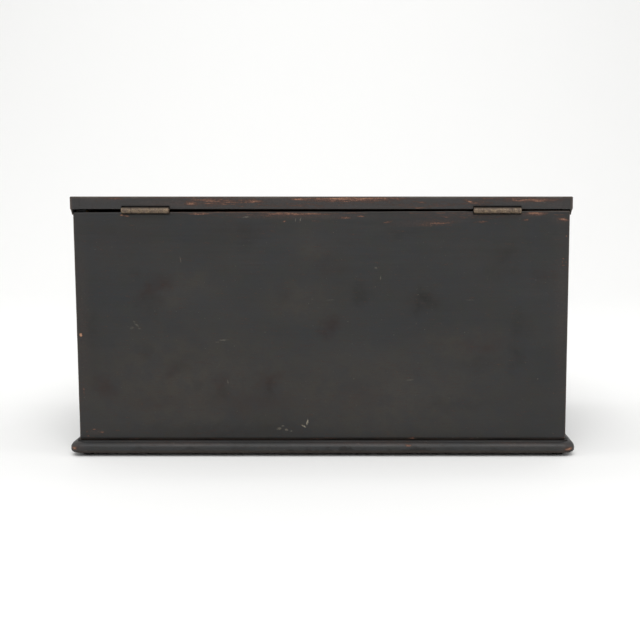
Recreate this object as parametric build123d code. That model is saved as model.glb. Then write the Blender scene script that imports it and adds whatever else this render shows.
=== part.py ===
from build123d import *
from math import atan, degrees
import os

os.makedirs("parts", exist_ok=True)

# A painted wooden box with a lift lid. Lengths are in millimetres, +Z is up.
# The origin is at the middle of the footprint, level with the undersides of the feet.
# The front faces -Y and the hinged back faces +Y. Left is -X, as seen from the front.

# Case: four nailed boards, the front and back lapping the ends
case_width = 402.8
case_depth = 241.0
wall_thickness = 8.5
wall_height = 190.2
back_drop_left = 1.0
back_drop_right = 2.3

# Base board with a thumbnail moulding on all four edges
base_thickness = 9.8
base_projection = 7.6
base_ledge = 3.4
base_step = 0.9
base_quarter_height = 4.8
base_lower_round = 1.9

# Button feet
foot_height = 3.0
foot_radius = 5.0
foot_bevel_height = 1.6
foot_bevel_width = 1.0
foot_inset = 13.2

# Lid: a board framed on three sides by a moulding that laps the case
lid_thickness = 10.15
lid_overhang = 2.1
lid_seat_clearance = 0.3
moulding_width = 8.0
lip_drop = 4.5
lip_clearance = 0.3
lip_edge = 0.4
cove_height = 4.8
cove_radius = 12.0
arris_round = 0.9

# Butt hinges with rolled knuckles
hinge_length = 38.1
hinge_inset = 59.0
leaf_width = 9.0
leaf_thickness = 1.2
pin_radius = 1.15
pin_fit = 0.08
pin_overhang = 0.3
pin_setback = 1.5
knuckle_count = 5
knuckle_gap = 0.2
knuckle_clearance = 0.3
seam_gap = 0.15
gain_end_clearance = 0.5
gain_clearance = 0.2
bedding = 0.05

# Countersunk slotted screws
screw_length = 8.0
screw_radius = 1.15
screw_head_radius = 2.4
screw_rim = 0.15
screw_point = 2.0
screw_tip_radius = 0.3
screw_sides = 10
screw_slot_width = 0.6
screw_slot_depth = 0.5
screws_per_leaf = 3

# Cut nails, longer ones for the case and base, brads for the lid moulding and feet
case_nail_length = 30.0
base_nail_length = 26.0
brad_length = 19.0
foot_nail_length = 9.0
nail_head = (3.0, 2.0, 0.8)
nail_shank = (2.0, 1.4)
brad_head = (2.2, 1.5, 0.6)
brad_shank = (1.5, 1.0)
nail_point_share = 0.45
nail_sink = 0.2
foot_nail_sink = 0.6
nail_fit = 0.05
case_nail_top_inset = 21.5
case_nail_low_inset = 41.0
case_nails_per_joint = 4
base_nails_per_long_wall = 4
base_nails_per_end = 2
brads_per_front = 5
brads_per_side = 3

# Levels and faces that follow from the sizes above
base_top = foot_height + base_thickness
seat_top = base_top + wall_height
lid_underside = seat_top + lid_seat_clearance
lid_top = lid_underside + lid_thickness
lip_bottom = lid_underside - lip_drop
half_width = case_width / 2
half_depth = case_depth / 2
back_face = half_depth
front_face = -half_depth
barrel_radius = pin_radius + pin_fit + leaf_thickness
back_drop_mean = (back_drop_left + back_drop_right) / 2
hinge_gap = lid_seat_clearance + back_drop_mean
pin_level = lid_underside - hinge_gap / 2
pin_y = back_face + pin_setback
board_inner_x = half_width + lid_overhang - moulding_width
board_front_y = front_face - lid_overhang + moulding_width
reach = case_width + case_depth


def spaced(count, length):
    # Centres of equal divisions of a length, about its middle
    return [length * ((i + 0.5) / count - 0.5) for i in range(count)]


def block(low, high):
    # Rectangular solid between two opposite corners
    size = [b - a for a, b in zip(low, high)]
    middle = [(a + b) / 2 for a, b in zip(low, high)]
    return Pos(*middle) * Box(*size)


def cut_nail(length, head, shank, grow=0.0, above=0.0):
    # Nail along -Z with the flat of its head at z = 0. With grow it is the hole for the nail,
    # and above is how far that hole carries on to the face of the wood.
    wide, narrow, head_depth = head
    shank_wide, shank_narrow = shank
    top = block(
        (-wide / 2 - grow, -narrow / 2 - grow, -head_depth - grow),
        (wide / 2 + grow, narrow / 2 + grow, above),
    )
    thick = Pos(0, 0, -head_depth) * Rectangle(shank_wide + 2 * grow, shank_narrow + 2 * grow)
    point_width = shank_wide * nail_point_share
    point = Pos(0, 0, -length - grow) * Rectangle(point_width + 2 * grow, shank_narrow + 2 * grow)
    return top + loft([thick, point])


def screw(grow=0.0, above=0.0):
    # Countersunk screw along -Z with its head's flat at z = 0, or the hole for it.
    # Its rounds have flat sides, because it is small and mostly hidden.
    head = RegularPolygon(screw_head_radius + grow, screw_sides, major_radius=False)
    shank = RegularPolygon(screw_radius + grow, screw_sides, major_radius=False)
    cone_end = screw_rim + screw_head_radius - screw_radius
    point_start = screw_length - screw_point
    point_taper = degrees(atan((screw_radius - screw_tip_radius) / screw_point))
    upside_down = (
        extrude(Pos(0, 0, -above) * head, above + screw_rim)
        + extrude(Pos(0, 0, screw_rim) * head, cone_end - screw_rim, taper=45)
        + extrude(Pos(0, 0, cone_end) * shank, point_start - cone_end)
        + extrude(Pos(0, 0, point_start) * shank, screw_point + grow, taper=point_taper)
    )
    return Rot(180, 0, 0) * upside_down


def slotted_screw():
    slot = block(
        (-2 * screw_head_radius, -screw_slot_width / 2, -screw_slot_depth),
        (2 * screw_head_radius, screw_slot_width / 2, 1),
    )
    return screw() - slot


def facing(x, y, z, outward, along):
    # Location of a fastener whose head faces outward and whose wide way lies along
    return Plane(origin=(x, y, z), x_dir=along, z_dir=outward).location


def placed(locations, solid):
    return [location * solid for location in locations]


# Places of the fasteners, on the faces that their heads are driven into

case_nail_low = base_top + case_nail_low_inset
case_nail_high = seat_top - case_nail_top_inset
case_nail_step = (case_nail_high - case_nail_low) / (case_nails_per_joint - 1)
case_nail_levels = [case_nail_low + i * case_nail_step for i in range(case_nails_per_joint)]
end_middle = half_width - wall_thickness / 2
wall_middle = half_depth - wall_thickness / 2


def case_nail_places(face_y, outward_y):
    return [
        facing(x, face_y - outward_y * nail_sink, z, (0, outward_y, 0), (1, 0, 0))
        for x in (-end_middle, end_middle)
        for z in case_nail_levels
    ]


def base_nail_places():
    level = foot_height + nail_sink
    down = (0, 0, -1)
    long_rows = [
        facing(x, y, level, down, (1, 0, 0))
        for y in (-wall_middle, wall_middle)
        for x in spaced(base_nails_per_long_wall, case_width)
    ]
    short_rows = [
        facing(x, y, level, down, (0, 1, 0))
        for x in (-end_middle, end_middle)
        for y in spaced(base_nails_per_end, case_depth)
    ]
    return long_rows + short_rows


def brad_places():
    level = lid_underside + lid_thickness / 2
    outer_x = half_width + lid_overhang - nail_sink
    outer_y = front_face - lid_overhang + nail_sink
    front_row = [
        facing(x, outer_y, level, (0, -1, 0), (1, 0, 0))
        for x in spaced(brads_per_front, case_width)
    ]
    side_rows = [
        facing(side * outer_x, y, level, (side, 0, 0), (0, 1, 0))
        for side in (-1, 1)
        for y in spaced(brads_per_side, case_depth)
    ]
    return front_row + side_rows


def foot_centres():
    x = half_width + base_projection - foot_inset
    y = half_depth + base_projection - foot_inset
    return {
        "foot_front_left": (-x, -y),
        "foot_front_right": (x, -y),
        "foot_back_left": (-x, y),
        "foot_back_right": (x, y),
    }


def foot_nail_places():
    return [
        facing(x, y, foot_nail_sink, (0, 0, -1), (1, 0, 0)) for x, y in foot_centres().values()
    ]


case_nail = cut_nail(case_nail_length, nail_head, nail_shank)
case_nail_hole = cut_nail(case_nail_length, nail_head, nail_shank, nail_fit, 1)
base_nail = cut_nail(base_nail_length, nail_head, nail_shank)
base_nail_hole = cut_nail(base_nail_length, nail_head, nail_shank, nail_fit, 1)
brad = cut_nail(brad_length, brad_head, brad_shank)
brad_hole = cut_nail(brad_length, brad_head, brad_shank, nail_fit, 1)
foot_nail = cut_nail(foot_nail_length, brad_head, brad_shank)
foot_nail_hole = cut_nail(foot_nail_length, brad_head, brad_shank, nail_fit, 1)

back_nail_places = case_nail_places(back_face, 1)
front_nail_places = case_nail_places(front_face, -1)
back_nail_holes = placed(back_nail_places, case_nail_hole)
front_nail_holes = placed(front_nail_places, case_nail_hole)
base_nail_holes = placed(base_nail_places(), base_nail_hole)
brad_holes = placed(brad_places(), brad_hole)
foot_nail_holes = placed(foot_nail_places(), foot_nail_hole)

# Hinges, made about a pin that lies along X through the origin, the leaves reaching to -Y

knuckle_pitch = (hinge_length + knuckle_gap) / knuckle_count
knuckle_length = knuckle_pitch - knuckle_gap


def knuckle_start(index):
    return -hinge_length / 2 + index * knuckle_pitch


def rolled_leaf(indices):
    # Leaf under the pin. Its own knuckles are rolled up from the plate round the pin and back
    # to a thin seam, and it is notched clear of the other leaf's knuckles.
    bore_radius = pin_radius + pin_fit
    plate = block(
        (-hinge_length / 2, -leaf_width, -barrel_radius),
        (hinge_length / 2, -barrel_radius - knuckle_clearance, -bore_radius),
    )
    # Local x of this sketch is the box's Y and its local y is Z
    tangent = Pos(-leaf_width / 2, -barrel_radius + leaf_thickness / 2) * Rectangle(
        leaf_width, leaf_thickness
    )
    seam_end = bore_radius + leaf_thickness * 1.5
    seam = Pos(-seam_end / 2, -bore_radius + seam_gap / 2) * Rectangle(seam_end, seam_gap)
    section = Circle(barrel_radius) - seam + tangent - Circle(bore_radius)
    knuckle = extrude(Plane.YZ * section, knuckle_length)
    leaf = plate
    for index in indices:
        leaf = leaf + Pos(knuckle_start(index), 0, 0) * knuckle
    for place in screw_places():
        leaf = leaf - place * screw(bedding, 1)
    return leaf


def screw_places():
    level = -barrel_radius + leaf_thickness
    middle = -(barrel_radius + leaf_width) / 2
    return [facing(x, middle, level, (0, 0, 1), (1, 0, 0)) for x in spaced(screws_per_leaf, hinge_length)]


def hinge_pin():
    return Rot(0, 90, 0) * Cylinder(pin_radius, hinge_length + 2 * pin_overhang)


def gain():
    # Recess for one leaf and for the barrel in the edge of the board below the pin
    half_length = hinge_length / 2 + gain_end_clearance
    floor = -barrel_radius - bedding
    seat = block(
        (-half_length, -leaf_width - gain_clearance, floor),
        (half_length, 2 * barrel_radius, 2 * barrel_radius),
    )
    scoop = Rot(0, 90, 0) * Cylinder(barrel_radius + knuckle_clearance, 2 * half_length)
    screws = placed(screw_places(), screw(bedding))
    return seat + scoop + screws


def upturned(solids):
    # The same about the pin's level, for the leaf let into the lid
    return [mirror(solid, Plane.XY) for solid in solids]


case_leaf = rolled_leaf(range(0, knuckle_count, 2))
lid_leaf = mirror(rolled_leaf(range(1, knuckle_count, 2)), Plane.XY)
case_screws = placed(screw_places(), slotted_screw())
lid_screws = upturned(case_screws)
case_gain = gain()
lid_gain = mirror(case_gain, Plane.XY)
hinge_x = half_width - hinge_inset
hinge_places = {
    "hinge_left": Pos(-hinge_x, pin_y, pin_level),
    "hinge_right": Pos(hinge_x, pin_y, pin_level),
}


# Case boards


def front_board():
    board = block((-half_width, front_face, base_top), (half_width, front_face + wall_thickness, seat_top))
    return board - front_nail_holes - base_nail_holes


def back_board():
    # Its top edge lies lower than the other walls and runs out of level
    outline = Polyline(
        (-half_width, base_top),
        (half_width, base_top),
        (half_width, seat_top - back_drop_right),
        (-half_width, seat_top - back_drop_left),
        close=True,
    )
    sheet = Pos(0, back_face, 0) * (Plane.XZ * make_face(outline))
    board = extrude(sheet, wall_thickness)
    gains = placed(hinge_places.values(), case_gain)
    return board - gains - back_nail_holes - base_nail_holes


def end_board(side):
    inner = side * (half_width - wall_thickness)
    outer = side * half_width
    board = block(
        (min(inner, outer), front_face + wall_thickness, base_top),
        (max(inner, outer), back_face - wall_thickness, seat_top),
    )
    return board - front_nail_holes - back_nail_holes - base_nail_holes


# Base board: the thumbnail section run both ways meets in mitres at the corners


def base_section(half_case):
    tip = half_case + base_projection
    ledge = half_case + base_ledge
    shoulder = base_thickness - base_step
    spring = shoulder - base_quarter_height
    round_centre = (tip - base_lower_round, base_lower_round)
    outline = [
        Line((0, 0), (tip - base_lower_round, 0)),
        CenterArc(round_centre, base_lower_round, -90, arc_size=90),
        Line((tip, base_lower_round), (tip, spring)),
        TangentArc((tip, spring), (ledge, shoulder), tangent=(0, 1)),
        Line((ledge, shoulder), (ledge, base_thickness)),
        Line((ledge, base_thickness), (0, base_thickness)),
        Line((0, base_thickness), (0, 0)),
    ]
    half = make_face(outline)
    return half + mirror(half, Plane.YZ)


def base_board():
    across = extrude(Plane.XZ * base_section(half_width), reach, both=True)
    along = extrude(Plane.YZ * base_section(half_depth), reach, both=True)
    board = Pos(0, 0, foot_height) * (across & along)
    return board - base_nail_holes - foot_nail_holes


def foot(centre):
    button = Pos(*centre, foot_height / 2) * Cylinder(foot_radius, foot_height)
    rim = button.edges().filter_by(GeomType.CIRCLE).sort_by(Axis.Z)[0]
    return chamfer(rim, foot_bevel_height, foot_bevel_width) - foot_nail_holes


# Lid


def lid_envelope():
    # The whole lid's side view, its upper back arris rounded
    front = front_face - lid_overhang
    outline = Polyline(
        (front, lip_bottom),
        (back_face, lip_bottom),
        (back_face, lid_top),
        (front, lid_top),
        close=True,
    )
    slab = extrude(Plane.YZ * make_face(outline), reach, both=True)
    arris = slab.edges().filter_by(Axis.X).sort_by(Axis.Z)[-2:].sort_by(Axis.Y)[-1]
    return fillet(arris, arris_round)


def lid_board():
    board = block(
        (-board_inner_x, board_front_y, lid_underside), (board_inner_x, back_face, lid_top)
    )
    gains = placed(hinge_places.values(), lid_gain)
    return (board & lid_envelope()) - gains - brad_holes


def moulding_section(half_case):
    # Flush with the lid board, with a lip below that ends in a small cove. Local x is outward.
    outer = half_case + lid_overhang
    inner = outer - moulding_width
    lip_inner = half_case + lip_clearance
    outline = [
        Line((inner, lid_top), (inner, lid_underside)),
        Line((inner, lid_underside), (lip_inner, lid_underside)),
        Line((lip_inner, lid_underside), (lip_inner, lip_bottom)),
        Line((lip_inner, lip_bottom), (lip_inner + lip_edge, lip_bottom)),
        RadiusArc((lip_inner + lip_edge, lip_bottom), (outer, lip_bottom + cove_height), -cove_radius),
        Line((outer, lip_bottom + cove_height), (outer, lid_top - arris_round)),
        CenterArc((outer - arris_round, lid_top - arris_round), arris_round, 0, arc_size=90),
        Line((outer - arris_round, lid_top), (inner, lid_top)),
    ]
    return make_face(outline)


def mitred(bar, outline):
    # Cuts a length of moulding to its outline in plan
    prism = extrude(make_face(Polyline(*outline, close=True)), 2 * lid_top)
    return (bar & prism & lid_envelope()) - brad_holes


def lid_moulding_right():
    outer = half_width + lid_overhang
    front = front_face - lid_overhang
    bar = extrude(Plane.XZ * moulding_section(half_width), reach, both=True)
    outline = [(board_inner_x, back_face), (outer, back_face), (outer, front), (board_inner_x, board_front_y)]
    return mitred(bar, outline)


def lid_moulding_front():
    outer = half_width + lid_overhang
    front = front_face - lid_overhang
    section = mirror(Plane.YZ * moulding_section(half_depth), Plane.XZ)
    bar = extrude(section, reach, both=True)
    outline = [(-outer, front), (outer, front), (board_inner_x, board_front_y), (-board_inner_x, board_front_y)]
    return mitred(bar, outline)


def write(name, shape):
    solids = shape if isinstance(shape, list) else shape.solids()
    export_step(solids[0] if len(solids) == 1 else Compound(children=solids), f"parts/{name}.step")


write("front_board", front_board())
write("back_board", back_board())
write("left_end_board", end_board(-1))
write("right_end_board", end_board(1))
write("base_board", base_board())
for name, centre in foot_centres().items():
    write(name, foot(centre))
write("lid_board", lid_board())
write("lid_moulding_right", lid_moulding_right())
write("lid_moulding_left", mirror(lid_moulding_right(), Plane.YZ))
write("lid_moulding_front", lid_moulding_front())
write("back_nails", placed(back_nail_places, case_nail))
write("front_nails", placed(front_nail_places, case_nail))
write("base_nails", placed(base_nail_places(), base_nail))
write("foot_nails", placed(foot_nail_places(), foot_nail))
write("lid_brads", placed(brad_places(), brad))
for name, place in hinge_places.items():
    write(name + "_case_leaf", place * case_leaf)
    write(name + "_lid_leaf", place * lid_leaf)
    write(name + "_pin", place * hinge_pin())
    write(name + "_case_screws", [place * item for item in case_screws])
    write(name + "_lid_screws", [place * item for item in lid_screws])
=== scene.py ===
import math
from functools import partial
import bmesh
import bpy
from bmesh.types import BMEdge, BMFace, BMVert
from mathutils import Matrix, Vector, noise


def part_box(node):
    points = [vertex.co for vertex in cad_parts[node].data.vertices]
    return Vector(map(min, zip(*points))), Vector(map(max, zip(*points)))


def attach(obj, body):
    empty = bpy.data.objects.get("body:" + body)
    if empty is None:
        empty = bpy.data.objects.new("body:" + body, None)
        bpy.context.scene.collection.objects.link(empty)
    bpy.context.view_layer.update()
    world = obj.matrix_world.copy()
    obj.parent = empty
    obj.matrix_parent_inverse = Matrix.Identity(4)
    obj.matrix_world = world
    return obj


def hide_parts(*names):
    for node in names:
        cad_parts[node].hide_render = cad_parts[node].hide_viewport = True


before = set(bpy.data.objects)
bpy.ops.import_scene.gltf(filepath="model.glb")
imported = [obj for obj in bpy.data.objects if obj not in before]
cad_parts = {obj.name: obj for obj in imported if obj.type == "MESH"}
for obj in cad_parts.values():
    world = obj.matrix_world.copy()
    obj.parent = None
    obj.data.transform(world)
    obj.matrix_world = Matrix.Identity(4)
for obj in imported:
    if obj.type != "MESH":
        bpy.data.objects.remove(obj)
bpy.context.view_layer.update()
mm = 0.001
hair = 1e-6  # less than any gap in the part
sharpTurn = math.radians(50)
print("frame loaded")


# Sizes that the frame gives

backLow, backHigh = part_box("back_board")
baseLow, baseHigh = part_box("base_board")
lidLow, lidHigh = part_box("lid_board")
sideLow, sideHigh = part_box("lid_moulding_right")
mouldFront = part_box("lid_moulding_front")[0].y
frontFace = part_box("front_board")[0].y
backFace = backHigh.y
wall = backHigh.y - backLow.y
caseHalf = backHigh.x
hingeSpots = {side: sum(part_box("hinge_" + side + "_pin"), Vector()) / 2 for side in ("left", "right")}


# Camera: square to the back, level with the lid's top

camera = {
    "distance": 865 * mm,  # from the lens to the back face
    "aside": -42 * mm,
    "height": 213.5 * mm,
    "pitchDown": 6.6,  # degrees
    "sensor": 36,
    "focalPixels": 1062.8,
    "axisPixel": (373.3, 319.4),  # where the photograph's axis lies in its 640 by 640
    "frame": 640,
}


def addCamera(c):
    data = bpy.data.cameras.new("camera")
    data.sensor_width = c["sensor"]
    data.lens = c["sensor"] * c["focalPixels"] / c["frame"]
    data.shift_x = 0.5 - c["axisPixel"][0] / c["frame"]
    data.shift_y = c["axisPixel"][1] / c["frame"] - 0.5
    ob = bpy.data.objects.new("camera", data)
    ob.location = (c["aside"], backFace + c["distance"], c["height"])
    ob.rotation_euler = (math.radians(90 - c["pitchDown"]), 0, math.radians(180))
    bpy.context.scene.collection.objects.link(ob)
    bpy.context.scene.camera = ob


addCamera(camera)


# Nodes and colours

def tone(hexText):
    # sRGB hex to linear
    parts = [int(hexText[i:i + 2], 16) / 255 for i in (1, 3, 5)]
    return (*[p / 12.92 if p <= 0.04045 else ((p + 0.055) / 1.055) ** 2.4 for p in parts], 1)


def addNode(tree, kind, links, operation=None, **settings):
    # One node with its settings and links. A link is a socket, a node (its first output) or a value.
    # Numbered inputs: a Mix has its share at 0 and what it mixes at 2 and 3, or at 6 and 7 for colours.
    # A MapRange has its value at 0, the old range at 1 and 2, and the new one at 3 and 4.
    made = tree.nodes.new("ShaderNode" + kind)
    if operation:
        made.operation = operation
    for key, value in settings.items():
        if key == "stops":
            ramp = made.color_ramp
            while len(ramp.elements) < len(value):
                ramp.elements.new(1)
            for element, (place, colour) in zip(ramp.elements, value):
                element.position = place
                element.color = tone(colour) if isinstance(colour, str) else (colour, colour, colour, 1)
        else:
            setattr(made, key, value)
    for key, value in links.items():
        if isinstance(value, bpy.types.Node):
            value = next(o for o in value.outputs if o.enabled)
        if isinstance(value, bpy.types.NodeSocket):
            tree.links.new(value, made.inputs[key])
        else:
            made.inputs[key].default_value = value
    return made


def newMaterial(name, surface, *details, **more):
    # The surface function adds its nodes, from a point on the object, and gives the shader's inputs
    material = bpy.data.materials.new(name)
    material.use_nodes = True
    tree = material.node_tree
    tree.nodes.clear()
    add = partial(addNode, tree)
    coord = add("TexCoord", {}).outputs["Object"]
    skin = add("BsdfPrincipled", surface(add, coord, *details, **more))
    add("OutputMaterial", {"Surface": skin})
    return material


def along(axis, length, width):
    # Scale that stretches a pattern along the grain: length and width are its real sizes
    return [1 / length if i == "xyz".index(axis) else 1 / width for i in range(3)]


# Mesh helpers

def only(geom, kind):
    return [g for g in geom if isinstance(g, kind)]


def boxMesh(low, high):
    bm = bmesh.new()
    bmesh.ops.create_cube(bm, size=1)
    bmesh.ops.scale(bm, verts=bm.verts, vec=Vector(high) - Vector(low))
    bmesh.ops.translate(bm, verts=bm.verts, vec=(Vector(high) + Vector(low)) / 2)
    bm.normal_update()
    return bm


def drawnOut(bm, cap, first):
    # The cap extruded: its new faces and verts. Only the first cap stays, as the bottom.
    made = bmesh.ops.extrude_face_region(bm, geom=cap)["geom"]
    if cap is not first:
        bmesh.ops.delete(bm, geom=cap, context="FACES_ONLY")
    return only(made, BMFace), only(made, BMVert)


def ringStack(rings, segments):
    # Round piece about Z, from its lowest ring up. Each ring is a radius and a level.
    bm = bmesh.new()
    radius, level = rings[0]
    bmesh.ops.create_circle(bm, cap_ends=True, radius=radius, segments=segments)
    bmesh.ops.translate(bm, verts=bm.verts, vec=(0, 0, level))
    first = top = bm.faces[:]
    for nextRadius, nextLevel in rings[1:]:
        top, verts = drawnOut(bm, top, first)
        bmesh.ops.translate(bm, verts=verts, vec=(0, 0, nextLevel - level))
        bmesh.ops.scale(bm, verts=verts, vec=(nextRadius / radius, nextRadius / radius, 1))
        radius, level = nextRadius, nextLevel
    bmesh.ops.recalc_face_normals(bm, faces=bm.faces)
    return bm


def roundUnder(radius, steps):
    # How far in and how far up each point of a rounded lower edge lies
    turns = [math.radians(90 * i / steps) for i in range(steps + 1)]
    return [(radius * (1 - math.sin(turn)), radius * (1 - math.cos(turn))) for turn in turns]


def turned(bm, matrix):
    bmesh.ops.transform(bm, matrix=matrix, verts=bm.verts)
    if matrix.determinant() < 0:
        bmesh.ops.reverse_faces(bm, faces=bm.faces)
    return bm


def joined(parts):
    whole = bmesh.new()
    for part in parts:
        mesh = bpy.data.meshes.new("part")
        part.to_mesh(mesh)
        part.free()
        whole.from_mesh(mesh)
        bpy.data.meshes.remove(mesh)
    return whole


def carved(bm, *cutters):
    # This shape less the cutters
    held = []
    for part in (bm, *cutters):
        mesh = bpy.data.meshes.new("carving")
        part.to_mesh(mesh)
        part.free()
        ob = bpy.data.objects.new("carving", mesh)
        bpy.context.scene.collection.objects.link(ob)
        held.append(ob)
    for cutter in held[1:]:
        cut = held[0].modifiers.new("cut", "BOOLEAN")
        cut.operation = "DIFFERENCE"
        cut.solver = "EXACT"
        cut.object = cutter
    seen = held[0].evaluated_get(bpy.context.evaluated_depsgraph_get())
    left = bpy.data.meshes.new_from_object(seen)
    result = bmesh.new()
    result.from_mesh(left)
    bpy.data.meshes.remove(left)
    for ob in held:
        mesh = ob.data
        bpy.data.objects.remove(ob)
        bpy.data.meshes.remove(mesh)
    return result


def softened(bm, test, width, segments):
    # Sharp edges whose two faces pass the test are rounded
    edges = [e for e in bm.edges if len(e.link_faces) == 2 and e.calc_face_angle() > sharpTurn]
    edges = [e for e in edges if test(*[f.normal for f in e.link_faces])]
    bmesh.ops.bevel(bm, geom=edges, offset=width, offset_type="OFFSET", segments=segments,
                    profile=0.5, affect="EDGES", material=-1, clamp_overlap=True)
    bm.normal_update()


def cutAcross(bm, place, normal, **how):
    geom = bm.verts[:] + bm.edges[:] + bm.faces[:]
    return bmesh.ops.bisect_plane(bm, geom=geom, dist=1e-7, plane_co=place, plane_no=normal, **how)


def sliced(bm, axes, low, high, pitch):
    # Even cuts across the piece, so that its long edges can wander
    for axis in axes:
        normal = [1 if i == axis else 0 for i in range(3)]
        start, run = low[axis], high[axis] - low[axis]
        count = round(run / pitch)
        for i in range(1, count):
            cutAcross(bm, [v * (start + run * i / count) for v in normal], normal)


def rubbing(here, fine, least):
    # How much is rubbed away at a place, in patches with smaller ones among them
    return max(0, noise.noise(here) + 0.5 * noise.noise(here * fine) + least)


def worn(bm, low, high, b, seed):
    # Arrises rubbed back unevenly, in the planes of their faces, so that the flats stay flat
    for v in bm.verts:
        amount = b["wearDepth"] * rubbing(v.co / b["wearSize"] + Vector((seed, 0, 0)), 3.1, 0.25)
        for axis in range(3):
            for end, inward in ((low[axis], 1), (high[axis], -1)):
                if hair < abs(v.co[axis] - end) < b["arris"] * 1.05:
                    v.co[axis] += inward * amount


def finishPiece(bm, name, body, materials, node, bare=None, sharp=35):
    # Faces that pass the bare test take the second material
    bmesh.ops.remove_doubles(bm, verts=bm.verts, dist=hair)
    bmesh.ops.recalc_face_normals(bm, faces=bm.faces)
    if bare:
        for face in bm.faces:
            if bare(face.calc_center_median(), face.normal):
                face.material_index = 1
    mesh = bpy.data.meshes.new(name)
    bm.to_mesh(mesh)
    bm.free()
    for material in materials:
        mesh.materials.append(material)
    mesh.shade_smooth()
    mesh.set_sharp_from_angle(angle=math.radians(sharp))
    ob = bpy.data.objects.new(name, mesh)
    bpy.context.scene.collection.objects.link(ob)
    flats = ob.modifiers.new("flats", "WEIGHTED_NORMAL")
    flats.keep_sharp = True
    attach(ob, body)
    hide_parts(node)
    return ob


# Studio: a pale paper sweep and soft light

studio = {
    "paper": "#f3f3f2",
    "tooth": 900,  # to the metre
    "world": "#ffffff",
    "worldStrength": 0.53,
    "sweepFront": 3.2,
    "sweepBack": 1.2,
    "sweepRadius": 2.2,
    "sweepHalfWidth": 5.0,
    "sweepSteps": 24,
    "wallHeight": 3.0,
    "lamps": [
        # name, place, aimed at, size, watts
        ("backdrop", (0.3, -0.9, 2.6), (0.3, -3.2, 1.2), 2.4, 24),
        ("overhead", (0.05, 0.3, 2.1), (0, 0, 0), 2.6, 3),
        ("fillLeft", (2.1, 0.3, 1.3), (0.5, -0.1, 0), 1.4, 8),
        ("fillRight", (-2.1, 0.3, 1.3), (-0.5, -0.1, 0), 1.4, 8),
        ("cameraSide", (-0.12, 2.05, 2.4), (0, 0.1, 0), 2.2, 58),
    ],
}


def seamlessPaper(add, coord, s):
    # Background paper: matt, even, with the faintest tooth
    tooth = add("TexNoise", {"Vector": coord, "Scale": s["tooth"], "Detail": 2})
    bump = add("Bump", {"Height": tooth, "Strength": 0.02, "Distance": 0.1 * mm})
    return {"Base Color": tone(s["paper"]), "Roughness": 0.95, "Specular IOR Level": 0.1, "Normal": bump}


def addStudio(s):
    scene = bpy.context.scene
    scene.view_settings.view_transform = "Standard"
    world = bpy.data.worlds.new("studio")
    world.use_nodes = True
    world.node_tree.nodes["Background"].inputs["Color"].default_value = tone(s["world"])
    world.node_tree.nodes["Background"].inputs["Strength"].default_value = s["worldStrength"]
    scene.world = world

    bm = bmesh.new()
    ends = [bm.verts.new((x, s["sweepFront"], 0)) for x in (-s["sweepHalfWidth"], s["sweepHalfWidth"])]
    run = bmesh.ops.extrude_edge_only(bm, edges=[bm.edges.new(ends)])["geom"]
    tip = only(run, BMVert)
    bmesh.ops.translate(bm, verts=tip, vec=(0, -s["sweepFront"] - s["sweepBack"], 0))
    bend = bmesh.ops.spin(bm, geom=tip + only(run, BMEdge), cent=(0, -s["sweepBack"], s["sweepRadius"]),
                          axis=(1, 0, 0), angle=math.radians(-90), steps=s["sweepSteps"])["geom_last"]
    rise = bmesh.ops.extrude_edge_only(bm, edges=only(bend, BMEdge))["geom"]
    bmesh.ops.translate(bm, verts=only(rise, BMVert), vec=(0, 0, s["wallHeight"]))
    bmesh.ops.recalc_face_normals(bm, faces=bm.faces)
    mesh = bpy.data.meshes.new("paperSweep")
    bm.to_mesh(mesh)
    bm.free()
    mesh.shade_smooth()
    mesh.materials.append(newMaterial("seamlessPaper", seamlessPaper, s))
    sweep = bpy.data.objects.new("paperSweep", mesh)
    scene.collection.objects.link(sweep)

    for name, place, aim, size, watts in s["lamps"]:
        lamp = bpy.data.lights.new(name, "AREA")
        lamp.shape = "SQUARE"
        lamp.size = size
        lamp.energy = watts
        ob = bpy.data.objects.new(name, lamp)
        ob.location = place
        ob.rotation_euler = (Vector(aim) - Vector(place)).to_track_quat("-Z", "Y").to_euler()
        scene.collection.objects.link(ob)


addStudio(studio)
print("camera and studio set")


# Black oil paint brushed on over a red-brown ground on pine. A satin near-black, mottled brown and
# green with age, with brush lines along the grain, rubbed through to rust and bare wood at the arrises.

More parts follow.
